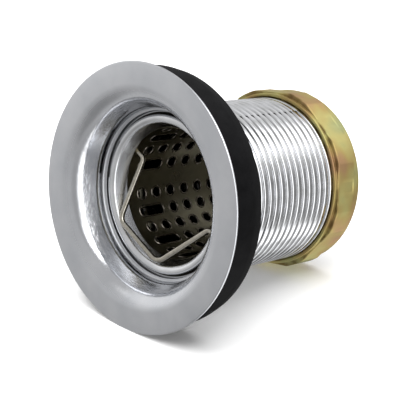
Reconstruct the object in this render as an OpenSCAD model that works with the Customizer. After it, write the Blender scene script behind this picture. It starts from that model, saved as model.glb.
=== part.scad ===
// Sink strainer: a pressed flange bowl on a threaded shank, with a lift-out cup.
// Upright frame: +Z runs up the drain axis and the outlet end of the shank is at z = 0.
// The bail hinge lies along X, and the bail rests towards +Y.

/* [Flange and bowl] */
// Width of the flange, from the bowl wall to its edge
flange_w = 11.5; // [10.5:0.5:15]
// Thickness of the pressed sheet
sheet = 0.8; // [0.6:0.05:0.9]
// How far the bowl wall lies outside the thread crests
bowl_over = 1.1; // [0.9:0.1:2.1]
// Depth from the flange face to the ledge in the bowl
ledge_depth = 10; // [9:0.25:12]
// Radius of the shoulder where the flange turns down into the bowl
shoulder_r = 5.6; // [4.5:0.1:6.2]
// Width of the ledge, from the bowl wall to the step down to the seat
ledge_w = 2.1; // [1.7:0.1:2.6]
// Drop from the ledge to the seat that carries the cup
seat_drop = 1.2; // [1.15:0.05:1.6]
// Length of the spigot that locates the bowl in the shank
spigot_len = 8; // [5:0.5:12]

/* [Shank] */
// Overall height, from the outlet end to the flange face
total_h = 65; // [63:0.5:75]
// Outside diameter of the thread, 1 1/2 inch pipe size
thread_d = 47.8; // [43:0.1:53]
// Length of the thread from the outlet end
thread_len = 42; // [36:0.5:44]
// How far the plain neck lies below the thread crests
neck_relief = 0.6; // [0.4:0.1:0.8]
// Wall of the shank, from its bore to the thread crests
shank_wall = 2.9; // [2.5:0.1:3.3]
// Step from the bore out to the wall of the tailpiece socket
socket_step = 0.5; // [0.3:0.1:0.8]
// Depth of that socket
socket_h = 5.5; // [4:0.25:6]

/* [Rubber washer] */
// Thickness of the washer
washer_t = 10.6; // [8:0.2:11.6]
// How far its edge lies inside the flange edge
washer_inset = 1.3; // [0.8:0.1:3]
// Height of the bevel round its lower edge
bevel_h = 3.6; // [2:0.2:5]
// Width of that bevel
bevel_w = 0.8; // [0.4:0.1:2]
// Gap left between the washer and the pressed bowl
washer_gap = 0.3; // [0.2:0.05:0.4]

/* [Locknut] */
// Number of flats
nut_flats = 8; // [6:2:10]
// Height of the nut
nut_h = 11; // [9:0.5:16]
// Wall between the thread and a flat
nut_wall = 1.5; // [1.4:0.05:2.5]
// How far the turned corners stand out beyond the flats
corner_proud = 0.9; // [0.5:0.1:1.2]
// Height of the round band at the back
band_h = 3; // [2.5:0.25:5]
// How far that band stands out beyond the flats
band_proud = 0.15; // [0.1:0.05:0.4]
// Radius round the back edge of the band
band_r = 1.2; // [0.8:0.1:1.4]
// Height of the round nose at the front
nose_h = 1; // [0.6:0.1:2]
// How far that nose lies inside the flats
nose_inset = 0.35; // [0.2:0.05:0.4]
// Turn of the first corner from the X axis
nut_turn = -12; // [-22:1:22]
// Distance from the outlet end to the nut
nut_inset = 1; // [0.5:0.5:6]

/* [Cup] */
// Radius of the curl round the rim
curl_r = 0.8; // [0.75:0.05:0.9]
// Width of the rim, from its edge to the inside of the perforated wall
rim_w = 3.8; // [3.6:0.1:4.2]
// Thickness of the sheet of the cup
cup_sheet = 0.5; // [0.4:0.05:0.6]
// Radius of the roll on the inner side of the rim
roll_r = 1.9; // [1.7:0.1:1.9]
// Drop from the top of the rim to the top of the wall
rim_drop = 4.15; // [4:0.05:4.3]
// Overall height of the cup
cup_h = 48.3; // [40:0.5:48.3]
// Width of the cut-out in the edge of the rim, in degrees
notch_angle = 31; // [10:1:60]
// Depth of that cut-out
notch_depth = 0.9; // [0.4:0.1:1]
// Direction of the middle of that cut-out
notch_at = 10.5; // [-60:0.5:60]

/* [Perforations] */
// Number of rows round the wall, with slots in every other one
rows = 22; // [14:2:22]
// Width of the plain strip at the seam of the wall, in degrees
seam_gap = 26.5; // [20:0.5:40]
// Direction of the first row
first_row_at = 16; // [0:0.1:40]
// Diameter of the holes
hole_d = 2.8; // [2:0.1:3]
// Distance between the holes of a row
hole_pitch = 5.6; // [5:0.1:7]
// Distance from the top of the wall to the middle of the first hole
first_hole = 5.5; // [5.3:0.1:6.6]
// Height of a slot between the middles of its ends
slot_run = 6; // [4:0.1:6.2]
// Rings of holes in the base
base_rings = 3; // [1:1:3]

/* [Bail] */
// Diameter of the wire
wire_d = 1.4; // [1.2:0.05:1.5]
// Distance from the top of the wall down to the hinge
hinge_drop = 1.35; // [1.25:0.05:1.45]
// Distance from the wall of the cup to the foot of an arm
arm_inset = 2.9; // [2.6:0.1:3.4]
// Width of the grip as a share of the distance between the arms
grip_share = 0.592; // [0.56:0.002:0.608]
// How far the grip stops short of the wall of the cup
grip_short = 0.6; // [0.5:0.1:1.2]
// Angle at which the bail rests on the rim
rest_angle = 18; // [17.5:0.5:20]
// Bend radius at the hinge ends
hinge_bend_r = 1.6; // [1.2:0.1:2]
// Bend radius at the corners of the grip
grip_bend_r = 3.2; // [2.8:0.1:3.6]
// How far the wire ends stand out past the collar
wire_out = 0.5; // [0.3:0.05:0.6]

/* [Clearances] */
// Gap between two sheets that are fitted together
sheet_fit = 0.05; // [0.02:0.01:0.08]
// Radial gap between the nut and the thread
thread_fit = 0.08; // [0.04:0.01:0.1]
// Radial gap between the wire and its hinge holes
hinge_fit = 0.05; // [0.03:0.01:0.1]
// Gap between the cup curl and the seat
seat_fit = 0.05; // [0.03:0.01:0.1]
// Gap between the edge of the cup rim and the step in the bowl
rim_gap = 1; // [0.8:0.1:1.2]

/* [Hidden] */
$fn = 96;
arc_n = 8;
cut = 0.5;

thread_r = thread_d / 2;
shank_bore_r = thread_r - shank_wall;
socket_r = shank_bore_r + socket_step;
bowl_r = thread_r + bowl_over;
flange_r = bowl_r + flange_w;
edge_r = sheet / 2;
lip_r = sheet + 0.1;
// A narrow flat is left between the rounds of the ledge, and between those of the step
round_gap = 0.1;
corner_r = ledge_w - lip_r - round_gap;
groove_r = seat_drop - lip_r - round_gap;

ledge_z = total_h - ledge_depth;
seat_z = ledge_z - seat_drop;
step_r = bowl_r - ledge_w;
spigot_r = shank_bore_r - sheet_fit - sheet;
shank_top = seat_z - sheet;
neck_r = thread_r - neck_relief;
bore_break = 0.3;

washer_top = total_h - sheet - washer_gap;
washer_bottom = washer_top - washer_t;
washer_r = flange_r - washer_inset;
washer_bore_r = bowl_r + sheet + washer_gap;
washer_corner_r = shoulder_r - sheet - washer_gap;

nut_bore_r = thread_r + thread_fit;
nut_flat_r = nut_bore_r + nut_wall;
nut_corner_r = nut_flat_r + corner_proud;
nut_band_r = nut_flat_r + band_proud;
nut_nose_r = nut_flat_r - nose_inset;
band_overlap = 0.5;
nut_body_top = nut_h - nose_h;
nut_body_bottom = band_h - band_overlap;
nut_chamfer = 0.4;
bore_chamfer = 0.4;

rim_r = step_r - rim_gap;
rim_top = seat_z + seat_fit + 2 * curl_r;
wall_r = rim_r - rim_w;
wall_out_r = wall_r + cup_sheet;
wall_top = rim_top - rim_drop;
cup_bottom = rim_top - cup_h;
collar_r = wall_out_r + sheet_fit;
collar_out_r = collar_r + cup_sheet;
// Metal left under the hinge hole, in the collar
collar_edge = 0.8;
collar_end = wall_top - hinge_drop - wire_d / 2 - collar_edge;
pan_r = wall_r - sheet_fit;
pan_h = 2.6;
pan_corner_r = 1;

hole_r = hole_d / 2;
row_pitch = (360 - seam_gap) / (rows - 1);
// The lowest holes stay clear of the turned-up edge of the base
last_hole_z = cup_bottom + pan_h + 0.4 + hole_r;
hole_rings = floor((wall_top - first_hole - last_hole_z) / hole_pitch) + 1;

wire_r = wire_d / 2;
arm_u = wall_r - arm_inset;
grip_u = arm_u * grip_share;
grip_v = wall_r - grip_short;
hinge_z = wall_top - hinge_drop;
hinge_hole_r = wire_r + hinge_fit;
wire_end = collar_out_r + wire_out;
// A bend is a hair thicker than the straight wire that ends in it, so that their faces cross cleanly
bend_over = 0.002;
bend_grip = 0.01;

// Points of an arc about [cx, cz] from angle a to angle b
function arc(cx, cz, r, a, b) =
    [for (i = [0 : arc_n]) let (t = a + (b - a) * i / arc_n) [cx + r * cos(t), cz + r * sin(t)]];

// Points in the opposite order
function back(points) = [for (i = [len(points) - 1 : -1 : 0]) points[i]];

// Section line of the pressed sheet: the face at depth 0, its underside at depth sheet
function bowl_line(depth) = concat(
    arc(bowl_r + shoulder_r, total_h - shoulder_r, shoulder_r - depth, 90, 180),
    arc(bowl_r - corner_r, ledge_z + corner_r, corner_r + depth, 0, -90),
    arc(step_r + lip_r, ledge_z - lip_r, lip_r - depth, 90, 180),
    arc(step_r - groove_r, seat_z + groove_r, groove_r + depth, 0, -90),
    arc(spigot_r + lip_r, seat_z - lip_r, lip_r - depth, 90, 180),
    [[spigot_r + depth, seat_z - lip_r - spigot_len]]);

// Rounded edge of the flange, from its face round to its underside
function flange_edge() = back(arc(flange_r - edge_r, total_h - edge_r, edge_r, -90, 90));

module flange_bowl() {
    color("silver")
    rotate_extrude()
    polygon(concat(back(flange_edge()), bowl_line(0), back(bowl_line(sheet))));
}

// Chrome-plated sleeve: plain neck, thread to the outlet end, socket for the tailpiece
module threaded_shank() {
    color("lightgray")
    difference() {
        union() {
            cylinder(r = neck_r, h = shank_top);
            cylinder(r = thread_r, h = thread_len - neck_relief);
            translate([0, 0, thread_len - neck_relief])
            cylinder(r1 = thread_r, r2 = neck_r, h = neck_relief);
        }
        translate([0, 0, -cut]) cylinder(r = shank_bore_r, h = shank_top + 2 * cut);
        translate([0, 0, -cut]) cylinder(r = socket_r, h = socket_h + cut);
        translate([0, 0, shank_top - bore_break])
        cylinder(r1 = shank_bore_r, r2 = shank_bore_r + bore_break + cut, h = bore_break + cut);
    }
}

// Thick washer whose inner corner follows the shoulder of the bowl
module rubber_washer() {
    color([0.08, 0.08, 0.08])
    rotate_extrude()
    polygon(concat(
        arc(washer_bore_r + washer_corner_r, washer_top - washer_corner_r, washer_corner_r, 180, 90),
        [[washer_r, washer_top],
         [washer_r, washer_bottom + bevel_h],
         [washer_r - bevel_w, washer_bottom],
         [washer_bore_r, washer_bottom]]));
}

// Prism with turned corners, chamfered at both ends
module nut_body() {
    intersection() {
        rotate([0, 0, nut_turn])
        cylinder(r = nut_flat_r / cos(180 / nut_flats), h = nut_h, $fn = nut_flats);
        rotate_extrude()
        polygon([[thread_r - cut, nut_body_bottom],
                 [nut_corner_r - nut_chamfer, nut_body_bottom],
                 [nut_corner_r, nut_body_bottom + nut_chamfer],
                 [nut_corner_r, nut_body_top - nut_chamfer],
                 [nut_corner_r - nut_chamfer, nut_body_top],
                 [thread_r - cut, nut_body_top]]);
    }
}

// Round band at the back of the nut, with a rounded edge
module nut_band() {
    rotate_extrude()
    polygon(concat(
        [[thread_r - cut, 0]],
        arc(nut_band_r - band_r, band_r, band_r, -90, 0),
        [[nut_band_r, band_h], [thread_r - cut, band_h]]));
}

module locknut() {
    color([0.66, 0.62, 0.36])
    translate([0, 0, nut_inset])
    difference() {
        union() {
            nut_body();
            nut_band();
            translate([0, 0, band_h / 2]) cylinder(r = nut_nose_r, h = nut_h - band_h / 2);
        }
        translate([0, 0, -cut]) cylinder(r = nut_bore_r, h = nut_h + 2 * cut);
        for (end = [0, 1])
            translate([0, 0, end * nut_h])
            mirror([0, 0, end])
            translate([0, 0, -cut])
            cylinder(r1 = nut_bore_r + bore_chamfer + cut, r2 = nut_bore_r, h = bore_chamfer + cut);
    }
}

// Section line of the cup rim: curl, land, roll and collar
function rim_line(depth) = concat(
    arc(rim_r - curl_r, rim_top - curl_r, curl_r - depth, -90, 90),
    arc(collar_r + roll_r, rim_top - roll_r, roll_r - depth, 90, 180),
    [[collar_r + depth, collar_end]]);

module cup_rim() {
    color("gainsboro")
    difference() {
        rotate_extrude() polygon(concat(rim_line(0), back(rim_line(cup_sheet))));
        rotate([0, 0, notch_at - notch_angle / 2])
        rotate_extrude(angle = notch_angle)
        translate([rim_r - notch_depth, wall_top]) square([notch_depth + cut, rim_drop + cut]);
        hinge_bore();
    }
}

// Straight hole through both sides for the ends of the wire
module hinge_bore() {
    translate([-rim_r, 0, hinge_z]) rotate([0, 90, 0]) cylinder(r = hinge_hole_r, h = 2 * rim_r);
}

// Hole cut outwards through the wall on the X axis at height z
module perforation(z) {
    translate([wall_r - cut, 0, z])
    rotate([0, 90, 0])
    cylinder(r = hole_r, h = cup_sheet + 2 * cut, $fn = 32);
}

// Slot cut the same way, from a hole at height z up to a second one
module slot(z) {
    perforation(z);
    translate([wall_r - cut, -hole_r, z]) cube([cup_sheet + 2 * cut, hole_d, slot_run]);
    perforation(z + slot_run);
}

module perforated_wall() {
    color([0.25, 0.23, 0.2])
    difference() {
        translate([0, 0, cup_bottom]) cylinder(r = wall_out_r, h = wall_top - cup_bottom);
        translate([0, 0, cup_bottom - cut]) cylinder(r = wall_r, h = wall_top - cup_bottom + 2 * cut);
        hinge_bore();
        for (row = [0 : rows - 1])
            rotate([0, 0, first_row_at - row * row_pitch])
            if (row % 2 == 0) {
                slot(wall_top - first_hole - hole_pitch);
                for (i = [2 : hole_rings - 1])
                    perforation(wall_top - first_hole - i * hole_pitch);
            } else {
                for (i = [0 : hole_rings - 1])
                    perforation(wall_top - first_hole - i * hole_pitch);
            }
    }
}

// Pan with a turned-up edge, perforated in rings
module cup_base() {
    ring_step = (pan_r - 2 * hole_r) / base_rings;
    color([0.3, 0.28, 0.25])
    difference() {
        translate([0, 0, cup_bottom])
        rotate_extrude()
        polygon(concat(
            [[0, 0]],
            arc(pan_r - pan_corner_r, pan_corner_r, pan_corner_r, -90, 0),
            [[pan_r, pan_h], [pan_r - cup_sheet, pan_h]],
            arc(pan_r - pan_corner_r, pan_corner_r, pan_corner_r - cup_sheet, 0, -90),
            [[0, cup_sheet]]));
        for (ring = [0 : base_rings])
            for (i = [0 : max(1, 6 * ring) - 1])
                rotate([0, 0, i * 360 / max(1, 6 * ring)])
                translate([ring * ring_step, 0, cup_bottom - cut])
                cylinder(r = hole_r, h = cup_sheet + 2 * cut, $fn = 32);
    }
}

// Straight length of wire between two points of the bail plane
module wire(a, b) {
    run = b - a;
    translate([a[0], a[1], 0])
    rotate([0, 0, atan2(run[1], run[0])])
    rotate([0, 90, 0])
    translate([0, 0, -bend_grip])
    cylinder(r = wire_r, h = norm(run) + 2 * bend_grip, $fn = 32);
}

// Bend of wire about a point, from angle a through a turn
module wire_bend(centre, r, a, turn) {
    translate([centre[0], centre[1], 0])
    rotate([0, 0, a])
    rotate_extrude(angle = turn)
    translate([r, 0]) circle(r = wire_r + bend_over, $fn = 32);
}

// Half of the bail: hinge end, arm and half of the grip, in its own plane
module half_bail() {
    lean = atan2(grip_v, arm_u - grip_u);
    hinge_t = hinge_bend_r * tan(lean / 2);
    grip_t = grip_bend_r * tan(lean / 2);
    along = [-cos(lean), sin(lean)];
    start = [arm_u, 0];
    end = [grip_u, grip_v];
    wire([arm_u + hinge_t, 0], [wire_end, 0]);
    wire_bend([arm_u + hinge_t, hinge_bend_r], hinge_bend_r, 270 - lean, lean);
    wire(start + hinge_t * along, end - grip_t * along);
    wire_bend([grip_u - grip_t, grip_v - grip_bend_r], grip_bend_r, 90 - lean, lean);
    wire([0, grip_v], [grip_u - grip_t, grip_v]);
}

module bail() {
    color([0.72, 0.7, 0.64])
    translate([0, 0, hinge_z])
    rotate([rest_angle, 0, 0]) {
        half_bail();
        mirror([1, 0, 0]) half_bail();
    }
}

flange_bowl();
threaded_shank();
rubber_washer();
locknut();
cup_rim();
perforated_wall();
cup_base();
bail();
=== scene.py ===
"""Looks of the sink strainer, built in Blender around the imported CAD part.

The part stands upright in the row frame: +Z up the drain axis, +X along the hinge of the bail.
Lengths below are in millimetres, and mm() turns them into Blender's metres.
"""

import math

import bmesh
import bpy
from mathutils import Matrix, Vector


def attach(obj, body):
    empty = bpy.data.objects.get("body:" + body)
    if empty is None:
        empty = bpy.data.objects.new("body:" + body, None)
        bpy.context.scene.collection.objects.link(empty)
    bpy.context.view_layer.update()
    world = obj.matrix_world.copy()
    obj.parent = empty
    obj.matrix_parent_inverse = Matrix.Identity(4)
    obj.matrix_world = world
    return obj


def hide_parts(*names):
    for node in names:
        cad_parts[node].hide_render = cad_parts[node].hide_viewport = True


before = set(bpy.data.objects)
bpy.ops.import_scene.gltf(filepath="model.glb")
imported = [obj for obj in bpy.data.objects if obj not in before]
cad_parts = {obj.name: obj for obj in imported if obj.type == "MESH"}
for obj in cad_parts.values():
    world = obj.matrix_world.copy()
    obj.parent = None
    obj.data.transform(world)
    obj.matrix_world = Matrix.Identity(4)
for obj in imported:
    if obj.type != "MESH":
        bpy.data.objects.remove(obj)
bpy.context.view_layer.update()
scene = bpy.context.scene


def mm(value):
    return value / 1000


# Driving sizes of the solids, as in the part's source

HEIGHT = 65.0
SHEET = 0.8
FLANGE_W = 11.5  # from the bowl wall to the edge
SHOULDER_R = 5.6
BOWL_OVER = 1.1  # from the thread crests out to the bowl wall
LEDGE_DEPTH = 10.0
LEDGE_W = 2.1
SEAT_DROP = 1.2  # from the ledge to the seat of the cup

THREAD_R = 23.9  # 1 1/2 inch pipe size
THREAD_TOP = 42.0
NECK_RELIEF = 0.6  # from the thread crests in to the plain neck
SHANK_WALL = 2.9
BORE_BREAK = 0.3
SOCKET_STEP = 0.5
SOCKET_H = 5.5

WASHER_T = 10.6
WASHER_INSET = 1.3  # from the flange edge in to the washer's
BEVEL_H = 3.6
BEVEL_W = 0.8

NUT_FLATS = 8
NUT_TURN = -12.0
NUT_H = 11.0
NUT_BOTTOM = 1.0
NUT_WALL = 1.5  # between the thread and a flat
NUT_CHAMFER = 0.4
CORNER_PROUD = 0.9  # from the flats out to the turned corners
BAND_PROUD = 0.15
BAND_H = 3.0
BAND_OVERLAP = 0.5
BACK_R = 1.2
NOSE_INSET = 0.35
NOSE_H = 1.0

CUP_SHEET = 0.5
CURL_R = 0.8
ROLL_R = 1.9
RIM_W = 3.8  # from its edge to the inside of the perforated wall
RIM_DROP = 4.15  # from its top to the top of that wall
NOTCH_AT = 10.5
NOTCH_ANGLE = 31.0
NOTCH_DEPTH = 0.9

ROWS = 22
PLAIN_STRIP = 26.5  # degrees without holes, at the seam of the wall
FIRST_ROW_AT = 16.0
HOLE_R = 1.4
HOLE_PITCH = 5.6
FIRST_HOLE = 5.5  # down from the top of the wall
HOLE_RINGS = 7
SLOT_RUN = 6.0

HINGE_DROP = 1.35  # down from the top of the wall
SOLID_WIRE_R = 0.7
COLLAR_EDGE = 0.8  # metal left under the hinge hole
ARM_INSET = 2.9
GRIP_SHORT = 0.6
GRIP_U = 9.0
WIRE_OUT = 0.5
HINGE_BEND_R = 1.6
GRIP_BEND_R = 3.2
REST_ANGLE = 18.0

# Gaps between pieces
WASHER_GAP = 0.3
THREAD_FIT = 0.08
SHEET_FIT = 0.05
SEAT_FIT = 0.05
RIM_GAP = 1.0


# What follows from them

NECK_R = THREAD_R - NECK_RELIEF
SHANK_BORE_R = THREAD_R - SHANK_WALL
SOCKET_R = SHANK_BORE_R + SOCKET_STEP

BOWL_R = THREAD_R + BOWL_OVER
FLANGE_R = BOWL_R + FLANGE_W
STEP_R = BOWL_R - LEDGE_W
SPIGOT_R = SHANK_BORE_R - SHEET_FIT - SHEET
LEDGE_Z = HEIGHT - LEDGE_DEPTH
SEAT_Z = LEDGE_Z - SEAT_DROP
SHANK_TOP = SEAT_Z - SHEET
LIP_R = SHEET + 0.1
ROUND_GAP = 0.1  # flat left between two rounds
CORNER_R = LEDGE_W - LIP_R - ROUND_GAP
GROOVE_R = SEAT_DROP - LIP_R - ROUND_GAP

WASHER_R = FLANGE_R - WASHER_INSET
WASHER_BORE_R = BOWL_R + SHEET + WASHER_GAP
WASHER_TOP = HEIGHT - SHEET - WASHER_GAP
WASHER_BOTTOM = WASHER_TOP - WASHER_T
WASHER_CORNER_R = SHOULDER_R - SHEET - WASHER_GAP

NUT_BORE_R = THREAD_R + THREAD_FIT
NUT_FLAT_R = NUT_BORE_R + NUT_WALL
NUT_CORNER_R = NUT_FLAT_R + CORNER_PROUD
NUT_BAND_R = NUT_FLAT_R + BAND_PROUD
NUT_NOSE_R = NUT_FLAT_R - NOSE_INSET
NUT_BODY_BOTTOM = BAND_H - BAND_OVERLAP
NUT_BODY_TOP = NUT_H - NOSE_H

RIM_R = STEP_R - RIM_GAP
RIM_TOP = SEAT_Z + SEAT_FIT + 2 * CURL_R
WALL_R = RIM_R - RIM_W
WALL_TOP = RIM_TOP - RIM_DROP
COLLAR_R = WALL_R + CUP_SHEET + SHEET_FIT
HINGE_Z = WALL_TOP - HINGE_DROP
COLLAR_END = HINGE_Z - SOLID_WIRE_R - COLLAR_EDGE
ROW_PITCH = (360 - PLAIN_STRIP) / (ROWS - 1)
FIRST_HOLE_Z = WALL_TOP - FIRST_HOLE

ARM_U = WALL_R - ARM_INSET
GRIP_V = WALL_R - GRIP_SHORT
WIRE_END = COLLAR_R + CUP_SHEET + WIRE_OUT


# Sizes that only the visible pieces have

# The bowl's face leans in and drops to a narrow ledge, where the solid's wall stands upright
BOWL_LEAN = 21
BOWL_BEND_R = 4.0
BOWL_FOOT_R = 0.72
BOWL_LEDGE_W = 0.95
STEP_LIP_R = 0.2
SPIGOT_END = 44.8

THREAD_PITCH = 2.309
THREAD_DEPTH = 0.8
THREAD_TURNS = 19
THREAD_GIRTH = 150  # once round, for the width of the seam
THREAD_RUN_OUT = 1.6
GROOVE_SHARE = 0.5  # of half a pitch, from the root of the groove to its crest
CREST_STEP = 0.6
OUTLET_BEVEL = 1.2
OUTLET_BREAK = 0.4
SEAM_ANGLE = -85.5
SEAM_W = 0.6
SEAM_DEPTH = 0.14
SEAM_START = 1.5
SEAM_FULL = 3.0
TICKS = 13
FIRST_TICK = 6  # turns up the thread
TICK_DEPTH = 0.62
TICK_SIZE = (0.58, 0.6, 0.42)

WASHER_SOFT = 0.5
BEVEL_DIP = 0.12
BEVEL_BLUNT = 0.15

CORNER_BLEND = 0.05
# Heights over the lower end of the flats, with the share of the way out from the band to them
BAND_STEPS = ((-0.15, 0.0), (0.05, 0.3), (0.25, 0.8), (0.5, 1.0))
NOSE_ROOT = 0.12
NOSE_SOFT = 0.25

FUNNEL_R = 1.6
FUNNEL_IN = 1.0
FUNNEL_ANGLE = 157
FUNNEL_GAP = 0.03
FUNNEL_OVER = 0.05
NOTCH_END = 0.4  # degrees over which the cut-out runs out
HOLE_LIP_W = 0.26
HOLE_LIP_H = 0.16
HOLE_LIP_GAP = 0.3

WIRE_R = 0.74  # the solid's is thinner, for more room at the ring

AROUND = 240  # steps round a turned piece


# Camera

# Solved from the flange ellipse, the shank outline and the nut
camera_data = bpy.data.cameras.new("camera")
camera_data.lens = 112.5
camera_data.sensor_width = 36
camera = bpy.data.objects.new("camera", camera_data)
camera.location = (mm(-169.32), mm(-178.15), mm(286.74))
camera.rotation_euler = (math.radians(-9.25), math.radians(44.265), math.radians(-145.985))
scene.collection.objects.link(camera)
scene.camera = camera


# Making meshes

def arc(cx, cz, r, a, b, steps=12):
    """Points of an arc about (cx, cz), from angle a to angle b in degrees."""
    turns = [math.radians(a + (b - a) * i / steps) for i in range(steps + 1)]
    return [(cx + r * math.cos(t), cz + r * math.sin(t)) for t in turns]


def new_piece(name, mesh, material, sharp=32):
    """Puts a mesh in the scene as a smooth piece whose faces point outwards."""
    shell = bmesh.new()
    shell.from_mesh(mesh)
    bmesh.ops.remove_doubles(shell, verts=shell.verts, dist=mm(0.002))
    bmesh.ops.recalc_face_normals(shell, faces=shell.faces)
    for face in shell.faces:
        face.smooth = True
    shell.to_mesh(mesh)
    shell.free()
    mesh.set_sharp_from_angle(angle=math.radians(sharp))
    mesh.materials.clear()
    mesh.materials.append(material)
    piece = bpy.data.objects.new(name, mesh)
    scene.collection.objects.link(piece)
    return piece


def turned_mesh(name, outline_at, closed=True, around=AROUND):
    """Mesh of a turned shape. outline_at(angle) gives its outline there as (radius, z) points."""
    outlines = [outline_at(math.tau * k / around) for k in range(around)]
    count = len(outlines[0])
    points = [
        (mm(r * math.cos(math.tau * k / around)), mm(r * math.sin(math.tau * k / around)), mm(z))
        for k, outline in enumerate(outlines)
        for r, z in outline
    ]
    faces = []
    for k in range(around):
        here, there = k * count, (k + 1) % around * count
        for i in range(count if closed else count - 1):
            j = (i + 1) % count
            faces.append((here + i, here + j, there + j, there + i))
    mesh = bpy.data.meshes.new(name)
    mesh.from_pydata(points, [], faces)
    return mesh


def turned(name, outline, material, sharp=32):
    """Piece turned from one closed outline."""
    return new_piece(name, turned_mesh(name, lambda angle: outline), material, sharp)


# Node trees

def add(tree, kind, inputs=None, **settings):
    """Adds a node with its settings. An input is a value, or the socket to link to it."""
    made = tree.nodes.new(kind)
    for key, value in settings.items():
        setattr(made, key, value)
    for key, value in (inputs or {}).items():
        if isinstance(value, bpy.types.NodeSocket):
            tree.links.new(value, made.inputs[key])
        else:
            made.inputs[key].default_value = value
    return made


def ramp(tree, factor, stops):
    """Colour ramp through (position, colour) stops."""
    made = add(tree, "ShaderNodeValToRGB", {"Fac": factor})
    points = made.color_ramp.elements
    while len(points) < len(stops):
        points.new(0.5)
    for point, (position, colour) in zip(points, stops):
        point.position = position
        point.color = colour
    return made.outputs["Color"]


def maths(tree, operation, *values):
    """Math node on values or sockets."""
    made = add(tree, "ShaderNodeMath", dict(enumerate(values)), operation=operation)
    return made.outputs[0]


def srgb(code):
    """sRGB hex value as linear colour."""
    channels = [int(code[i : i + 2], 16) / 255 for i in (1, 3, 5)]
    return [c / 12.92 if c <= 0.04045 else ((c + 0.055) / 1.055) ** 2.4 for c in channels] + [1]


def grey(level):
    """Grey of a linear level."""
    return [level, level, level, 1]


def finish(name, metallic=0.0, roughness=0.5, **sockets):
    """Material with its shader, ready for the nodes of its finish."""
    material = bpy.data.materials.new(name)
    material.use_nodes = True
    tree = material.node_tree
    shader = tree.nodes["Principled BSDF"]
    shader.inputs["Metallic"].default_value = metallic
    shader.inputs["Roughness"].default_value = roughness
    for key, value in sockets.items():
        shader.inputs[key.replace("_", " ")].default_value = value
    return material, tree, shader


def place(tree):
    """Object coordinates of the surface."""
    return add(tree, "ShaderNodeTexCoord").outputs["Object"]


def noise(tree, vector, spacing, detail=2.0, rough=0.5, stretch=(1, 1, 1)):
    """Noise whose lumps are about spacing millimetres across, 0 to 1."""
    mapped = add(tree, "ShaderNodeMapping", {"Vector": vector, "Scale": stretch})
    made = add(
        tree,
        "ShaderNodeTexNoise",
        {
            "Vector": mapped.outputs[0],
            "Scale": 1 / mm(spacing),
            "Detail": detail,
            "Roughness": rough,
        },
    )
    return made.outputs["Fac"]


def spread(tree, value, low, high, start=0.0, end=1.0):
    """Maps a value from start..end to low..high."""
    made = add(
        tree,
        "ShaderNodeMapRange",
        {"Value": value, "From Min": start, "From Max": end, "To Min": low, "To Max": high},
    )
    return made.outputs[0]


def ease(tree, value, start, end, low, high):
    """Smooth step of a value from low to high, between start and end."""
    made = add(
        tree,
        "ShaderNodeMapRange",
        {"Value": value, "From Min": start, "From Max": end, "To Min": low, "To Max": high},
        interpolation_type="SMOOTHSTEP",
    )
    return made.outputs[0]


def mixed(tree, factor, a, b):
    """Value that runs from a to b as the factor runs from 0 to 1."""
    return add(tree, "ShaderNodeMix", {0: factor, 2: a, 3: b}).outputs[0]


def tinted(tree, factor, a, b):
    """Colour that runs from a to b as the factor runs from 0 to 1."""
    return add(tree, "ShaderNodeMix", {0: factor, 6: a, 7: b}, data_type="RGBA").outputs[2]


def bump(tree, shader, height, depth):
    """Bump of a height that runs from 0 to 1 over depth millimetres."""
    made = add(tree, "ShaderNodeBump", {"Height": height, "Distance": mm(depth), "Strength": 1.0})
    tree.links.new(made.outputs["Normal"], shader.inputs["Normal"])


def polar(tree, vector):
    """Radius in metres, angle in radians and height in metres of a point about the drain axis."""
    parts = add(tree, "ShaderNodeSeparateXYZ", {"Vector": vector})
    x, y, z = parts.outputs
    square = maths(tree, "ADD", maths(tree, "MULTIPLY", x, x), maths(tree, "MULTIPLY", y, y))
    return maths(tree, "SQRT", square), maths(tree, "ARCTAN2", y, x), z


def joined(tree, x, y, z):
    """Vector of three values."""
    return add(tree, "ShaderNodeCombineXYZ", {"X": x, "Y": y, "Z": z}).outputs[0]


# Materials

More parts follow.
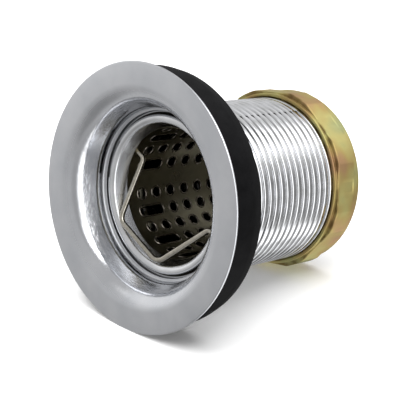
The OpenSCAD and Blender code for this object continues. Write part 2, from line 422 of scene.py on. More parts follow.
def satin_pressed_steel():
    """Pressed stainless sheet: a satin flange with faint spun lines round a bright bowl, with painted
    shade in the crevice round the cup.
    """
    material, tree, shader = finish("satin_pressed_stainless", 1.0, 0.3)
    where = place(tree)
    across, angle, z = polar(tree, where)
    cloud = noise(tree, where, 9, 3)
    tint = ramp(tree, cloud, [(0.3, srgb("#C2C4C8")), (0.7, srgb("#CFD0D3"))])
    # Painted shade: the crevice round the rim of the cup is coloured near black
    over_step = ease(tree, z, mm(LEDGE_Z - 0.5), mm(LEDGE_Z - 0.3), 0.0, 1.0)
    past_rim = ease(tree, across, mm(RIM_R + 0.5), mm(RIM_R + 0.7), 0.0, 0.8)
    over_ledge = ease(tree, z, mm(LEDGE_Z - 0.1), mm(LEDGE_Z + 0.8), 0.9, 1.0)
    unshaded = maths(tree, "MULTIPLY", maths(tree, "MAXIMUM", over_step, past_rim), over_ledge)
    tree.links.new(tinted(tree, unshaded, srgb("#15130F"), tint), shader.inputs["Base Color"])
    # Spun lines are about 0.1 mm apart on the real one, drawn at 0.5 mm to show
    lines = noise(tree, joined(tree, across, maths(tree, "MULTIPLY", angle, mm(1.2)), z), 0.5, 1)
    # The bowl is bright and turns dull towards its ledge, and the flange round it is satin
    satin = spread(tree, cloud, 0.27, 0.37)
    polish = spread(tree, noise(tree, where, 1.5, 3), 0.08, 0.22)
    dull = ease(tree, z, mm(LEDGE_Z + 0.2), mm(LEDGE_Z + 2.5), 0.42, 0.0)
    bowl = maths(tree, "MAXIMUM", polish, dull)
    outside = ease(tree, across, mm(BOWL_R + 1.5), mm(BOWL_R + 5), 0.0, 1.0)
    tree.links.new(mixed(tree, outside, bowl, satin), shader.inputs["Roughness"])
    # Pressing left the bowl faintly pebbled, about 0.9 mm across
    pebbles = maths(
        tree, "MULTIPLY", noise(tree, where, 0.9, 3, 0.6), mixed(tree, outside, 9.0, 0.0)
    )
    bump(tree, shader, maths(tree, "ADD", lines, pebbles), 0.004)
    return material


def bright_plate():
    """Chrome on brass: mirror bright, with painted shade in the roots of the thread."""
    material, tree, shader = finish("chrome_plated_brass", 1.0, 0.12)
    where = place(tree)
    stain = noise(tree, where, 3, 3)
    tint = ramp(tree, stain, [(0.35, srgb("#C9CACB")), (0.6, srgb("#DDDEE1"))])
    across, _, z = polar(tree, where)
    # Painted shade: the roots of the thread are darkened towards #343434
    root = ease(tree, across, mm(THREAD_R - 0.7), mm(THREAD_R - 0.25), 1.0, 0.0)
    threaded = ease(tree, z, mm(THREAD_TOP), mm(THREAD_TOP + 1.2), 1.0, 0.0)
    root_shade = maths(tree, "MULTIPLY", root, threaded)
    tree.links.new(tinted(tree, root_shade, tint, srgb("#343434")), shader.inputs["Base Color"])
    tree.links.new(spread(tree, stain, 0.04, 0.12), shader.inputs["Roughness"])
    return material


def moulded_rubber():
    """Black moulded rubber: nearly matt, with a faint bloom."""
    material, tree, shader = finish("moulded_black_rubber", 0.0, 0.6, Specular_IOR_Level=0.03)
    where = place(tree)
    bloom = noise(tree, where, 4, 4, 0.6)
    tint = ramp(tree, bloom, [(0.3, srgb("#0C0C0D")), (0.75, srgb("#161617"))])
    tree.links.new(tint, shader.inputs["Base Color"])
    tree.links.new(spread(tree, bloom, 0.5, 0.68), shader.inputs["Roughness"])
    bump(tree, shader, noise(tree, where, 0.6, 3, 0.6), 0.02)
    return material


def yellow_passivate():
    """Zinc plate with yellow passivate: soft metal shine whose tint drifts from olive to pink."""
    material, tree, shader = finish("yellow_passivated_zinc", 1.0, 0.45)
    where = place(tree)
    drift = noise(tree, where, 11, 2, 0.5)
    tint = ramp(
        tree,
        drift,
        [
            (0.32, srgb("#A2A374")),
            (0.45, srgb("#B3AA70")),
            (0.56, srgb("#AF9C64")),
            (0.68, srgb("#AB8A66")),
        ],
    )
    # Brown stain along the shoulder and the mouth of the nut
    across, _, z = polar(tree, where)
    off = maths(tree, "ABSOLUTE", maths(tree, "SUBTRACT", z, mm(NUT_BOTTOM + NUT_BODY_TOP)))
    shoulder = ease(tree, off, mm(0.1), mm(0.7), 1.0, 0.0)
    mouth = ease(tree, across, mm(NUT_BORE_R + 0.3), mm(NUT_BORE_R + 0.8), 1.0, 0.0)
    patches = ease(tree, noise(tree, where, 5, 3), 0.4, 0.65, 0.0, 0.8)
    stained = maths(tree, "MULTIPLY", maths(tree, "MAXIMUM", shoulder, mouth), patches)
    tint = tinted(tree, stained, tint, srgb("#6B5632"))
    tree.links.new(tint, shader.inputs["Base Color"])
    tree.links.new(spread(tree, noise(tree, where, 2, 3), 0.46, 0.6), shader.inputs["Roughness"])
    bump(tree, shader, noise(tree, where, 0.7, 2), 0.012)
    return material


def spun_rim_steel():
    """Bright pressed rim: fine lines run across it, from the outer edge to the cup."""
    material, tree, shader = finish("bright_spun_stainless", 1.0, 0.2)
    where = place(tree)
    across, angle, _ = polar(tree, where)
    # Real lines are about 0.1 mm apart, drawn at 0.35 mm to show
    way_round = maths(tree, "MULTIPLY", angle, mm(20))
    way_in = maths(tree, "MULTIPLY", across, 0.08)
    lines = noise(tree, joined(tree, way_round, mm(0), way_in), 0.35, 2)
    tint = ramp(tree, noise(tree, where, 6, 2), [(0.3, srgb("#CDCED0")), (0.7, srgb("#E0E1E3"))])
    tree.links.new(tint, shader.inputs["Base Color"])
    tree.links.new(spread(tree, lines, 0.14, 0.3), shader.inputs["Roughness"])
    bump(tree, shader, lines, 0.012)
    return material


def dark_perforated_steel():
    """Polished sheet inside the cup, browned and dark because it mirrors itself."""
    material, tree, shader = finish("perforated_stainless", 1.0, 0.3)
    where = place(tree)
    stain = noise(tree, where, 7, 3)
    tint = ramp(tree, stain, [(0.3, srgb("#87826F")), (0.7, srgb("#9B9682"))])
    tree.links.new(tint, shader.inputs["Base Color"])
    tree.links.new(spread(tree, stain, 0.22, 0.38), shader.inputs["Roughness"])
    return material


def punched_edge_steel():
    """Burnished lips of the punched holes, brighter than the sheet round them."""
    material, tree, shader = finish("burnished_stainless", 1.0, 0.16)
    tint = ramp(tree, noise(tree, place(tree), 2, 2), [(0.3, srgb("#857E74")), (0.7, srgb("#A9A298"))])
    tree.links.new(tint, shader.inputs["Base Color"])
    return material


def drawn_wire():
    """Bright stainless wire with a warm cast and faint drawing marks."""
    material, tree, shader = finish("drawn_stainless_wire", 1.0, 0.22)
    where = place(tree)
    marks = noise(tree, where, 0.8, 3)
    tint = ramp(tree, marks, [(0.3, srgb("#A19C90")), (0.7, srgb("#BDB8AD"))])
    tree.links.new(tint, shader.inputs["Base Color"])
    tree.links.new(spread(tree, marks, 0.08, 0.18), shader.inputs["Roughness"])
    return material


def notch_shade():
    """Painted shade: near-black beads in the notches of the parting line."""
    material, tree, shader = finish("painted_notch_shade", 1.0, 0.5)
    shade = noise(tree, place(tree), 0.5, 2)
    tint = ramp(tree, shade, [(0.3, srgb("#0B0B0A")), (0.7, srgb("#1D1C1A"))])
    tree.links.new(tint, shader.inputs["Base Color"])
    return material


STEEL = satin_pressed_steel()
PLATE = bright_plate()
RUBBER = moulded_rubber()
PASSIVATE = yellow_passivate()
RIM = spun_rim_steel()
PERFORATED = dark_perforated_steel()
LIPS = punched_edge_steel()
WIRE = drawn_wire()
NOTCH_SHADE = notch_shade()


# Geometry trees

def new_tree(name, sockets):
    """Geometry tree with named inputs. Returns it with its input sockets by name."""
    tree = bpy.data.node_groups.new(name, "GeometryNodeTree")
    tree.interface.new_socket("Geometry", in_out="OUTPUT", socket_type="NodeSocketGeometry")
    tree.interface.new_socket("Geometry", in_out="INPUT", socket_type="NodeSocketGeometry")
    for label, kind in sockets:
        tree.interface.new_socket(label, in_out="INPUT", socket_type="NodeSocket" + kind)
    start = add(tree, "NodeGroupInput")
    return tree, {socket.name: socket for socket in start.outputs if socket.name}


def grow(tree, values, seed=None):
    """Runs a geometry tree and returns its result as a plain mesh."""
    carrier = bpy.data.objects.new("carrier", seed or bpy.data.meshes.new("carrier"))
    scene.collection.objects.link(carrier)
    modifier = carrier.modifiers.new("grow", "NODES")
    modifier.node_group = tree
    for item in tree.interface.items_tree:
        if item.in_out == "INPUT" and item.name in values:
            modifier[item.identifier] = values[item.name]
    ready = carrier.evaluated_get(bpy.context.evaluated_depsgraph_get())
    mesh = bpy.data.meshes.new_from_object(ready)
    bpy.data.objects.remove(carrier)
    return mesh


def position(tree):
    """Node whose outputs are the coordinates of each point."""
    return add(
        tree, "ShaderNodeSeparateXYZ", {"Vector": add(tree, "GeometryNodeInputPosition").outputs[0]}
    )


def close_tree(tree, geometry, material):
    """Ends a tree with real geometry in its material."""
    real = add(tree, "GeometryNodeRealizeInstances", {"Geometry": geometry})
    dressed = add(tree, "GeometryNodeSetMaterial", {"Geometry": real.outputs[0], "Material": material})
    add(tree, "NodeGroupOutput", {"Geometry": dressed.outputs[0]})


def thread_tree():
    """Outer wall of the threaded shank: a grid rolled up, whose rows climb with the thread."""
    floats = ["Crest Radius", "Neck Radius", "Pitch", "Depth", "Thread Top", "Seam Turn"]
    counts = ["Turns", "Steps", "Around"]
    tree, given = new_tree(
        "thread",
        [(label, "Float") for label in floats]
        + [(label, "Int") for label in counts]
        + [("Material", "Material")],
    )
    rows = maths(tree, "MULTIPLY", maths(tree, "ADD", given["Turns"], 1.0), given["Steps"])
    grid = add(
        tree,
        "GeometryNodeMeshGrid",
        {
            "Size X": 1.0,
            "Size Y": 1.0,
            "Vertices X": maths(tree, "ADD", rows, 1.0),
            "Vertices Y": maths(tree, "ADD", given["Around"], 1.0),
        },
    )
    flat = position(tree)
    turn = maths(tree, "ADD", flat.outputs["Y"], 0.5)

    # Heights are counted in pitches; a row starts one pitch low and ends where the next turn starts
    share = maths(tree, "ADD", flat.outputs["X"], 0.5)
    climb = maths(tree, "MULTIPLY", share, maths(tree, "ADD", given["Turns"], 1.0))
    level = maths(tree, "ADD", maths(tree, "SUBTRACT", climb, 1.0), turn)
    level = maths(tree, "MINIMUM", maths(tree, "MAXIMUM", level, 0.0), given["Turns"])
    z = maths(tree, "MULTIPLY", level, given["Pitch"])

    # Place across one pitch: 0 in the root of the groove, 1 on the crest
    phase = maths(tree, "FRACT", maths(tree, "ADD", maths(tree, "SUBTRACT", level, turn), 1.0))
    fold = maths(tree, "SUBTRACT", maths(tree, "MULTIPLY", phase, 2.0), 1.0)
    rise = maths(tree, "SUBTRACT", 1.0, maths(tree, "ABSOLUTE", fold))
    groove = ease(tree, rise, 0.0, GROOVE_SHARE, 1.0, 0.0)
    run_out = maths(tree, "ADD", given["Thread Top"], mm(THREAD_RUN_OUT))
    fade = ease(tree, z, given["Thread Top"], run_out, 1.0, 0.0)
    cut = maths(tree, "MULTIPLY", maths(tree, "MULTIPLY", groove, fade), given["Depth"])
    threaded = maths(tree, "SUBTRACT", given["Crest Radius"], cut)

    # The crests stop at the neck and are bevelled at the outlet end
    step = maths(tree, "SUBTRACT", given["Thread Top"], mm(CREST_STEP))
    crest = ease(tree, z, step, given["Thread Top"], given["Crest Radius"], given["Neck Radius"])
    bevel = maths(tree, "ADD", z, maths(tree, "SUBTRACT", given["Crest Radius"], mm(OUTLET_BEVEL)))
    radius = maths(tree, "MINIMUM", maths(tree, "MINIMUM", threaded, crest), bevel)

    # Fine groove of the parting line
    off = maths(tree, "ADD", maths(tree, "SUBTRACT", turn, given["Seam Turn"]), 1.5)
    off = maths(tree, "FRACT", off)
    away = maths(tree, "ABSOLUTE", maths(tree, "SUBTRACT", off, 0.5))
    away = maths(tree, "MULTIPLY", away, mm(THREAD_GIRTH))
    seam = ease(tree, away, 0.0, mm(SEAM_W), mm(SEAM_DEPTH), 0.0)
    inside = ease(tree, z, mm(SEAM_START), mm(SEAM_FULL), 0.0, 1.0)
    seam = maths(tree, "MULTIPLY", maths(tree, "MULTIPLY", seam, inside), fade)
    radius = maths(tree, "SUBTRACT", radius, seam)

    around = maths(tree, "MULTIPLY", turn, math.tau)
    x = maths(tree, "MULTIPLY", radius, maths(tree, "COSINE", around))
    y = maths(tree, "MULTIPLY", radius, maths(tree, "SINE", around))
    rolled = add(
        tree,
        "GeometryNodeSetPosition",
        {"Geometry": grid.outputs["Mesh"], "Position": joined(tree, x, y, z)},
    )
    close_tree(tree, rolled.outputs[0], given["Material"])
    return tree


def tick_tree():
    """Short dark beads, painted shade, where the parting line crosses the grooves."""
    tree, given = new_tree(
        "seam_ticks",
        [("Count", "Int")]
        + [(label, "Vector") for label in ("Start", "Step", "Size", "Turn")]
        + [("Material", "Material")],
    )
    line = add(
        tree,
        "GeometryNodeMeshLine",
        {"Count": given["Count"], "Start Location": given["Start"], "Offset": given["Step"]},
        mode="OFFSET",
    )
    bead = add(tree, "GeometryNodeMeshUVSphere", {"Segments": 12, "Rings": 8, "Radius": 1.0})
    placed = add(
        tree,
        "GeometryNodeInstanceOnPoints",
        {
            "Points": line.outputs["Mesh"],
            "Instance": bead.outputs["Mesh"],
            "Rotation": given["Turn"],
            "Scale": given["Size"],
        },
    )
    close_tree(tree, placed.outputs[0], given["Material"])
    return tree


def lip_tree():
    """Raised lip round each hole and slot of the wall, on the points of the seed mesh."""
    tree, given = new_tree(
        "punched_lips",
        [(label, "Float") for label in ("Radius", "Run", "Width", "Height")]
        + [("Material", "Material")],
    )
    loop = add(
        tree,
        "GeometryNodeCurvePrimitiveQuadrilateral",
        {
            "Width": maths(tree, "ADD", maths(tree, "MULTIPLY", given["Radius"], 2.0), given["Run"]),
            "Height": maths(tree, "MULTIPLY", given["Radius"], 2.0),
        },
        mode="RECTANGLE",
    )
    corner = maths(tree, "MULTIPLY", given["Radius"], 0.999)
    round_loop = add(
        tree,
        "GeometryNodeFilletCurve",
        {"Curve": loop.outputs[0], "Radius": corner, "Count": 7},
        mode="POLY",
    )
    bead = add(tree, "GeometryNodeCurvePrimitiveCircle", {"Radius": 1.0, "Resolution": 8})
    flat_bead = add(
        tree,
        "GeometryNodeTransform",
        {"Geometry": bead.outputs[0], "Scale": joined(tree, given["Width"], given["Height"], 1.0)},
    )
    lip = add(
        tree,
        "GeometryNodeCurveToMesh",
        {"Curve": round_loop.outputs[0], "Profile Curve": flat_bead.outputs[0]},
    )
    # The loop is laid in the wall: its length along the axis, its flat face towards the middle
    upright = add(
        tree,
        "GeometryNodeTransform",
        {"Geometry": lip.outputs[0], "Rotation": (0.0, math.pi / 2, 0.0)},
    )
    spot = position(tree)
    turn = maths(tree, "ARCTAN2", spot.outputs["Y"], spot.outputs["X"])
    placed = add(
        tree,
        "GeometryNodeInstanceOnPoints",
        {
            "Points": given["Geometry"],
            "Instance": upright.outputs[0],
            "Rotation": joined(tree, 0.0, 0.0, turn),
        },
    )
    close_tree(tree, placed.outputs[0], given["Material"])
    return tree


def wire_tree():
    """Round wire bent along the corners of the seed line."""
    tree, given = new_tree(
        "bent_wire",
        [(label, "Float") for label in ("Wire Radius", "Hinge Bend", "Grip Bend", "Arm Reach")]
        + [("Material", "Material")],
    )
    path = add(tree, "GeometryNodeMeshToCurve", {"Mesh": given["Geometry"]})
    spot = position(tree)
    outer = maths(tree, "GREATER_THAN", maths(tree, "ABSOLUTE", spot.outputs["X"]), given["Arm Reach"])
    bend = add(
        tree,
        "GeometryNodeSwitch",
        {"Switch": outer, "False": given["Grip Bend"], "True": given["Hinge Bend"]},
        input_type="FLOAT",
    )
    bent = add(
        tree,
        "GeometryNodeFilletCurve",
        {"Curve": path.outputs[0], "Radius": bend.outputs[0], "Count": 14},
        mode="POLY",
    )
    section = add(
        tree,
        "GeometryNodeCurvePrimitiveCircle",
        {"Radius": given["Wire Radius"], "Resolution": 28},
    )
    swept = add(
        tree,
        "GeometryNodeCurveToMesh",
        {"Curve": bent.outputs[0], "Profile Curve": section.outputs[0], "Fill Caps": True},
    )
    close_tree(tree, swept.outputs[0], given["Material"])
    return tree


# Pieces

def ride(piece, body, slot, *nodes):
    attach(piece, body)
    if nodes:
        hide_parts(*nodes)


def pressed_flange():
    """Flange, shoulder, bowl, ledge, seat and spigot: one sheet, turned from one outline."""
    lean = math.radians(BOWL_LEAN)
    top = arc(BOWL_R + SHOULDER_R, HEIGHT - SHOULDER_R, SHOULDER_R, 90, 180 - BOWL_LEAN, 26)
    foot_r = STEP_R + BOWL_LEDGE_W
    middle_r = foot_r + BOWL_BEND_R
    bend_r = foot_r + BOWL_BEND_R * (1 - math.cos(lean))
    bend_z = top[-1][1] - (top[-1][0] - bend_r) / math.tan(lean)
    middle_z = bend_z - BOWL_BEND_R * math.sin(lean)
    face = (
        top
        + arc(middle_r, middle_z, BOWL_BEND_R, 180 - BOWL_LEAN, 180, 8)
        + arc(foot_r - BOWL_FOOT_R, LEDGE_Z + BOWL_FOOT_R, BOWL_FOOT_R, 0, -90, 6)
        + arc(STEP_R + STEP_LIP_R, LEDGE_Z - STEP_LIP_R, STEP_LIP_R, 90, 180, 6)
        + arc(STEP_R - GROOVE_R, SEAT_Z + GROOVE_R, GROOVE_R, 0, -90, 6)
        + arc(SPIGOT_R + LIP_R, SEAT_Z - LIP_R, LIP_R, 90, 180, 10)
        + [(SPIGOT_R, SPIGOT_END)]
    )
    under = (
        arc(BOWL_R + SHOULDER_R, HEIGHT - SHOULDER_R, SHOULDER_R - SHEET, 90, 180, 20)
        + arc(BOWL_R - CORNER_R, LEDGE_Z + CORNER_R, CORNER_R + SHEET, 0, -90, 12)
        + arc(STEP_R - GROOVE_R, SEAT_Z + GROOVE_R, GROOVE_R + SHEET, 0, -90, 8)
        + [(SPIGOT_R + SHEET, SEAT_Z - SHEET), (SPIGOT_R + SHEET, SPIGOT_END)]
    )
    edge_r = SHEET / 2
    edge = arc(FLANGE_R - edge_r, HEIGHT - edge_r, edge_r, -90, 90, 10)
    outline = edge + face + under[::-1]
    piece = turned("pressed_flange", outline, STEEL)
    ride(piece, "drain", "satin_steel", "flange_bowl")


def plated_shank():
    """Threaded sleeve with its bore and socket, and the notches of its parting line."""
    values = {
        "Crest Radius": mm(THREAD_R),
        "Neck Radius": mm(NECK_R),
        "Pitch": mm(THREAD_PITCH),
        "Depth": mm(THREAD_DEPTH),
        "Thread Top": mm(THREAD_TOP),
        "Seam Turn": SEAM_ANGLE / 360,
        "Turns": THREAD_TURNS,
        "Steps": 14,
        "Around": AROUND,
        "Material": PLATE,
    }
    outer = grow(thread_tree(), values)
    bore = [
        (NECK_R, THREAD_TURNS * THREAD_PITCH),
        (NECK_R, SHANK_TOP),
        (SHANK_BORE_R + BORE_BREAK, SHANK_TOP),
        (SHANK_BORE_R, SHANK_TOP - BORE_BREAK),
        (SHANK_BORE_R, SOCKET_H),
        (SOCKET_R, SOCKET_H),
        (SOCKET_R, OUTLET_BREAK),
        (SOCKET_R + OUTLET_BREAK, 0),
        (THREAD_R - OUTLET_BEVEL, 0),
    ]
    inner = turned_mesh("shank_bore", lambda angle: bore, closed=False)
    both = bmesh.new()
    both.from_mesh(outer)
    both.from_mesh(inner)
    mesh = bpy.data.meshes.new("plated_shank")
    both.to_mesh(mesh)
    both.free()
    piece = new_piece("plated_shank", mesh, PLATE, 60)
    ride(piece, "drain", "bright_plating", "threaded_shank")

    # The groove lies on the seam where z / pitch equals the turn plus a whole number.
    # The first notch shows just over the nut.
    angle = math.radians(SEAM_ANGLE)
    out = THREAD_R - TICK_DEPTH
    first_z = THREAD_PITCH * (SEAM_ANGLE / 360 + FIRST_TICK)
    start = (out * math.cos(angle), out * math.sin(angle), first_z)
    # The ticks are near-black beads of painted shade in the notches
    ticks = grow(
        tick_tree(),
        {
            "Count": TICKS,
            "Start": tuple(mm(c) for c in start),
            "Step": (0.0, 0.0, mm(THREAD_PITCH)),
            "Size": tuple(mm(side) for side in TICK_SIZE),
            "Turn": (0.0, 0.0, angle),
            "Material": NOTCH_SHADE,
        },
    )
    ride(new_piece("seam_ticks", ticks, NOTCH_SHADE), "drain", "bright_plating")


def rubber_ring():
    """Thick washer, hollowed for the shoulder of the bowl and bevelled below."""
    soft = WASHER_SOFT
    low = WASHER_BOTTOM
    bevel_top = low + BEVEL_H
    foot_r = WASHER_R - BEVEL_W
    outline = (
        arc(WASHER_BORE_R + WASHER_CORNER_R, WASHER_TOP - WASHER_CORNER_R, WASHER_CORNER_R, 180, 90, 16)
        + arc(WASHER_R - soft, WASHER_TOP - soft, soft, 90, 0, 6)
        + [(WASHER_R, bevel_top + soft), (WASHER_R - BEVEL_DIP / 4, bevel_top)]
        + [(WASHER_R - BEVEL_DIP, bevel_top - soft), (foot_r, low + soft)]
        + [(foot_r - BEVEL_BLUNT, low + BEVEL_BLUNT), (foot_r - soft, low)]
        + arc(WASHER_BORE_R + soft, low + soft, soft, -90, -180, 6)
    )
    piece = turned("rubber_ring", outline, RUBBER)
    ride(piece, "washer", "black_rubber", "rubber_washer")


def soft_min(a, b, width):
    """Smaller of two values, with the corner between them rounded over width."""
    h = max(width - abs(a - b), 0) / width
    return min(a, b) - h * h * width / 4


def octagon_nut():
    """Nut with turned corners, a round band at the back and a nose at the front."""
    half = math.pi / NUT_FLATS
    base, top = NUT_BOTTOM, NUT_BOTTOM + NUT_H
    shoulder, under = NUT_BOTTOM + NUT_BODY_TOP, NUT_BOTTOM + NUT_BODY_BOTTOM
    cut = NUT_CHAMFER

    def outline_at(angle):
        from_flat = (angle - math.radians(NUT_TURN) + half) % (2 * half) - half
        side = NUT_FLAT_R / math.cos(from_flat)
        body = soft_min(side, NUT_CORNER_R, CORNER_BLEND)
        low = max(body, NUT_BAND_R)
        # From the mouth: the band, its step out to the flats, the shoulder and the nose
        return (
            [(NUT_BORE_R, base + cut), (NUT_BORE_R + cut, base)]
            + arc(NUT_BAND_R - BACK_R, base + BACK_R, BACK_R, -90, 0, 8)
            + [(NUT_BAND_R + out * (low - NUT_BAND_R), under + up) for up, out in BAND_STEPS]
            + [((body + low) / 2, under + 0.75), (body, under + 1.0), (body, shoulder - cut)]
            + arc(body - cut, shoulder - cut, cut, 15, 75, 4)
            + [(body - cut, shoulder), (NUT_NOSE_R + NOSE_ROOT, shoulder)]
            + [(NUT_NOSE_R, shoulder + NOSE_ROOT)]
            + arc(NUT_NOSE_R - NOSE_SOFT, top - NOSE_SOFT, NOSE_SOFT, 0, 90, 5)
            + [(NUT_BORE_R + cut, top), (NUT_BORE_R, top - cut)]
        )

    mesh = turned_mesh("octagon_nut", outline_at, around=720)
    piece = new_piece("octagon_nut", mesh, PASSIVATE, 12)
    ride(piece, "nut", "yellow_brass", "locknut")


def pressed_rim():
    """Ring of the cup: curled edge with a cut-out, rolled top, funnel and collar."""
    curl_z = RIM_TOP - CURL_R

    def outline_at(angle):
        off = abs((math.degrees(angle) - NOTCH_AT + 180) % 360 - 180)
        cut = NOTCH_DEPTH * (1 - min(max((off - NOTCH_ANGLE / 2) / NOTCH_END, 0), 1))

        # The roll runs down as a funnel that meets the perforated wall
        outline = (
            arc(RIM_R - CURL_R, curl_z, CURL_R, -90, 90, 12)
            + arc(RIM_R - FUNNEL_IN, RIM_TOP - FUNNEL_R, FUNNEL_R, 90, FUNNEL_ANGLE, 12)
            + [(WALL_R + FUNNEL_GAP, WALL_TOP + FUNNEL_OVER), (COLLAR_R, WALL_TOP + FUNNEL_GAP)]
            + [(COLLAR_R, COLLAR_END), (COLLAR_R + CUP_SHEET, COLLAR_END)]
            + arc(COLLAR_R + ROLL_R, RIM_TOP - ROLL_R, ROLL_R - CUP_SHEET, 180, 90, 12)
            + arc(RIM_R - CURL_R, curl_z, CURL_R - CUP_SHEET, 90, -90, 8)
        )
        return [(min(r, RIM_R - cut), z) for r, z in outline]

    mesh = turned_mesh("pressed_rim", outline_at, around=720)
    piece = new_piece("pressed_rim", mesh, RIM, 40)
    ride(piece, "cup", "rim_steel", "cup_rim")


def punched_lips():
    """Lips round the holes and the slots that the solid wall already has."""

    def seed(points):
        mesh = bpy.data.meshes.new("hole_centres")
        mesh.from_pydata(points, [], [])
        return mesh

    holes, slots = [], []
    for row in range(ROWS):
        angle = math.radians(FIRST_ROW_AT - row * ROW_PITCH)
        x, y = mm(WALL_R * math.cos(angle)), mm(WALL_R * math.sin(angle))
        slotted = row % 2 == 0
        if slotted:
            slots.append((x, y, mm(FIRST_HOLE_Z - HOLE_PITCH + SLOT_RUN / 2)))
        for ring in range(2 if slotted else 0, HOLE_RINGS):
            holes.append((x, y, mm(FIRST_HOLE_Z - ring * HOLE_PITCH)))
    tree = lip_tree()
    values = {
        "Radius": mm(HOLE_R + HOLE_LIP_GAP),
        "Width": mm(HOLE_LIP_W),
        "Height": mm(HOLE_LIP_H),
        "Material": LIPS,
    }
    for name, points, run in (("hole_lips", holes, 0.0), ("slot_lips", slots, SLOT_RUN)):
        mesh = grow(tree, dict(values, Run=mm(run)), seed(points))
        ride(new_piece(name, mesh, LIPS, 60), "cup", "wall_steel")


def wire_bail():
    """Wire with two arms and a straight grip, laid over at its angle of rest."""
    corners = [
        (-WIRE_END, 0), (-ARM_U, 0), (-GRIP_U, GRIP_V), (GRIP_U, GRIP_V), (ARM_U, 0), (WIRE_END, 0),
    ]
    runs = [(i, i + 1) for i in range(len(corners) - 1)]
    seed = bpy.data.meshes.new("bail_line")
    seed.from_pydata([(mm(u), mm(v), 0) for u, v in corners], runs, [])
    mesh = grow(
        wire_tree(),
        {
            "Wire Radius": mm(WIRE_R),
            "Hinge Bend": mm(HINGE_BEND_R),
            "Grip Bend": mm(GRIP_BEND_R),
            "Arm Reach": mm((GRIP_U + ARM_U) / 2),
            "Material": WIRE,
        },
        seed,
    )
    lean = Matrix.Rotation(math.radians(REST_ANGLE), 4, "X")
    mesh.transform(Matrix.Translation((0, 0, mm(HINGE_Z))) @ lean)
    ride(new_piece("wire_bail", mesh, WIRE, 50), "bail", "bail_wire", "bail")


pressed_flange()
plated_shank()
rubber_ring()
octagon_nut()
pressed_rim()
punched_lips()
wire_bail()
for node in ("perforated_wall", "cup_base"):
    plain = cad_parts[node].data
    plain.materials.clear()
    plain.materials.append(PERFORATED)


# Floor, world and lamp

# Way up in the photograph, in the part's frame
UP = Vector((0.41793, -0.89463, 0.15805)).normalized()
FLOOR_REACH = 3.0  # metres each way from the part
NUT_REST_Z = NUT_BOTTOM + 2.0  # where the nut's back edge touches the floor
LAMP_WAY = (0.42, -0.85, 0.3)
LAMP_AIM_Z = 40.0

# What the metal mirrors: azimuth from the drain axis, height, half width, half height,
# softness of the edge, all in degrees, and brightness
CAMERA_SIDE = (35, 0, 14, 80, 10, 0.52)
BACK_GAP = (125, -12, 36, 22, 6, 0.3)
BOWL_SIDE = (84, 8, 28, 44, 8, 2.3)
OVERHEAD_SPILL = (-160, 55, 24, 36, 5, 0.9)
OVERHEAD_BOX = (135, 55, 46, 32, 7, 2.0)
FRONT_BOX = (82, 62, 38, 22, 12, 4.2)
LIT_FLOOR = (112, -62, 54, 22, 4, 2.0)
FLOOR_SHADOW = (-140, -55, 30, 24, 9, 0.14)
UPPER_TENT = (-72, 22, 26, 26, 10, 1.1)
LOWER_TENT = (-14, -40, 32, 20, 14, 0.36)
TENT = 0.66

# Later windows lie over earlier ones
WINDOWS = (
    CAMERA_SIDE,
    BACK_GAP,
    BOWL_SIDE,
    OVERHEAD_SPILL,
    OVERHEAD_BOX,
    FRONT_BOX,
    LIT_FLOOR,
    FLOOR_SHADOW,
    UPPER_TENT,
    LOWER_TENT,
)


def studio_floor():
    """Pale floor that the flange and the nut rest on. It is seen from its upper side only."""
    material, tree, shader = finish("pale_floor", 0.0, 0.9)
    shader.inputs["Base Color"].default_value = grey(0.92)
    output = tree.nodes["Material Output"]
    glow = add(tree, "ShaderNodeEmission", {"Color": grey(1), "Strength": 0.1})
    lifted = add(tree, "ShaderNodeAddShader", {0: shader.outputs[0], 1: glow.outputs[0]})
    rays = add(tree, "ShaderNodeLightPath")
    seen = rays.outputs["Is Camera Ray"]
    top = add(tree, "ShaderNodeMixShader", {0: seen, 1: shader.outputs[0], 2: lifted.outputs[0]})
    clear = add(tree, "ShaderNodeBsdfTransparent")
    behind = add(tree, "ShaderNodeNewGeometry").outputs["Backfacing"]
    sides = add(tree, "ShaderNodeMixShader", {0: behind, 1: top.outputs[0], 2: clear.outputs[0]})
    tree.links.new(sides.outputs[0], output.inputs["Surface"])

    # The plane touches the flange edge and the back edge of the nut
    down = -UP
    flat = Vector((down.x, down.y, 0)).normalized()
    flange = flat * mm(FLANGE_R) + Vector((0, 0, mm(HEIGHT - SHEET / 2)))
    nut = flat * mm(NUT_BAND_R) + Vector((0, 0, mm(NUT_REST_Z)))
    along = (nut - flange).normalized()
    across = along.cross(flat).normalized()
    signs = ((-1, -1), (1, -1), (1, 1), (-1, 1))
    corners = [flange + FLOOR_REACH * (along * a + across * b) for a, b in signs]
    mesh = bpy.data.meshes.new("floor")
    mesh.from_pydata([tuple(c) for c in corners], [], [(0, 1, 2, 3)])
    mesh.update()
    if mesh.polygons[0].normal.dot(UP) < 0:
        mesh.flip_normals()
    mesh.materials.append(material)
    floor = bpy.data.objects.new("floor", mesh)
    scene.collection.objects.link(floor)
    # Metal mirrors the world's lit floor instead of this one
    floor.visible_glossy = False


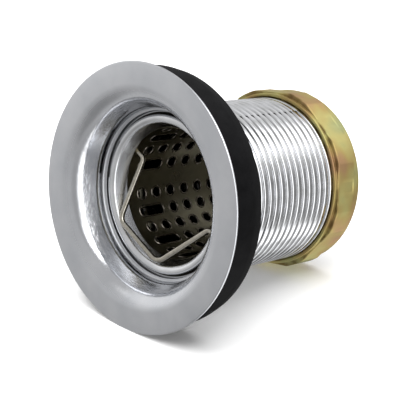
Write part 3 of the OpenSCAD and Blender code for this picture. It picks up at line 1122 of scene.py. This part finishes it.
def studio_world():
    """White to the camera. Metal mirrors a grey tent with bright boxes and darker gaps."""
    front = (Vector((0, 0, 1)) - UP * UP.z).normalized()
    side = UP.cross(front)
    world = bpy.data.worlds.new("studio")
    scene.world = world
    world.use_nodes = True
    tree = world.node_tree
    tree.nodes.clear()
    way = add(tree, "ShaderNodeTexCoord").outputs["Generated"]

    def along(axis):
        """Share of the direction that points along an axis."""
        shares = {0: way, 1: tuple(axis)}
        return add(tree, "ShaderNodeVectorMath", shares, operation="DOT_PRODUCT").outputs["Value"]

    height = maths(tree, "DEGREES", maths(tree, "ARCSINE", along(UP)))
    turn = maths(tree, "DEGREES", maths(tree, "ARCTAN2", along(side), along(front)))

    def inside(value, middle, half, soft):
        """1 within half of the middle and 0 outside, on a circle of 360 degrees."""
        turns = maths(tree, "DIVIDE", maths(tree, "SUBTRACT", value, middle), 360.0)
        off = maths(tree, "FRACT", maths(tree, "ADD", turns, 1.5))
        gap = maths(tree, "ABSOLUTE", maths(tree, "SUBTRACT", off, 0.5))
        return ease(tree, maths(tree, "MULTIPLY", gap, 360.0), half - soft, half + soft, 1.0, 0.0)

    mirrored = TENT
    for turn_at, height_at, wide, tall, soft, level in WINDOWS:
        mask = maths(
            tree, "MULTIPLY", inside(turn, turn_at, wide, soft), inside(height, height_at, tall, soft)
        )
        step = maths(tree, "SUBTRACT", level, mirrored)
        mirrored = maths(tree, "ADD", mirrored, maths(tree, "MULTIPLY", mask, step))

    rays = add(tree, "ShaderNodeLightPath")

    def light(colour, strength):
        """Even light of a colour."""
        return add(tree, "ShaderNodeBackground", {"Color": colour, "Strength": strength}).outputs[0]

    def choose(ray, others, this):
        """What rays of one kind meet, and what all the others meet."""
        return add(tree, "ShaderNodeMixShader", {0: rays.outputs[ray], 1: others, 2: this}).outputs[0]

    lit = choose("Is Glossy Ray", light(grey(0.4), 1.0), light(grey(1.0), mirrored))
    seen = choose("Is Camera Ray", lit, light(grey(1.0), 1.0))
    add(tree, "ShaderNodeOutputWorld", {"Surface": seen})


def lamp(name, way, distance, size, power):
    """Square soft lamp that shines on the part from a direction in its frame."""
    data = bpy.data.lights.new(name, "AREA")
    data.shape = "SQUARE"
    data.size = size
    data.energy = power
    box = bpy.data.objects.new(name, data)
    way = Vector(way).normalized()
    box.location = Vector((0, 0, mm(LAMP_AIM_Z))) + way * distance
    box.rotation_euler = way.to_track_quat("Z", "Y").to_euler()
    box.visible_glossy = False
    scene.collection.objects.link(box)


studio_floor()
studio_world()
lamp("overhead_box", LAMP_WAY, distance=0.7, size=1.1, power=15)
scene.view_settings.view_transform = "Standard"
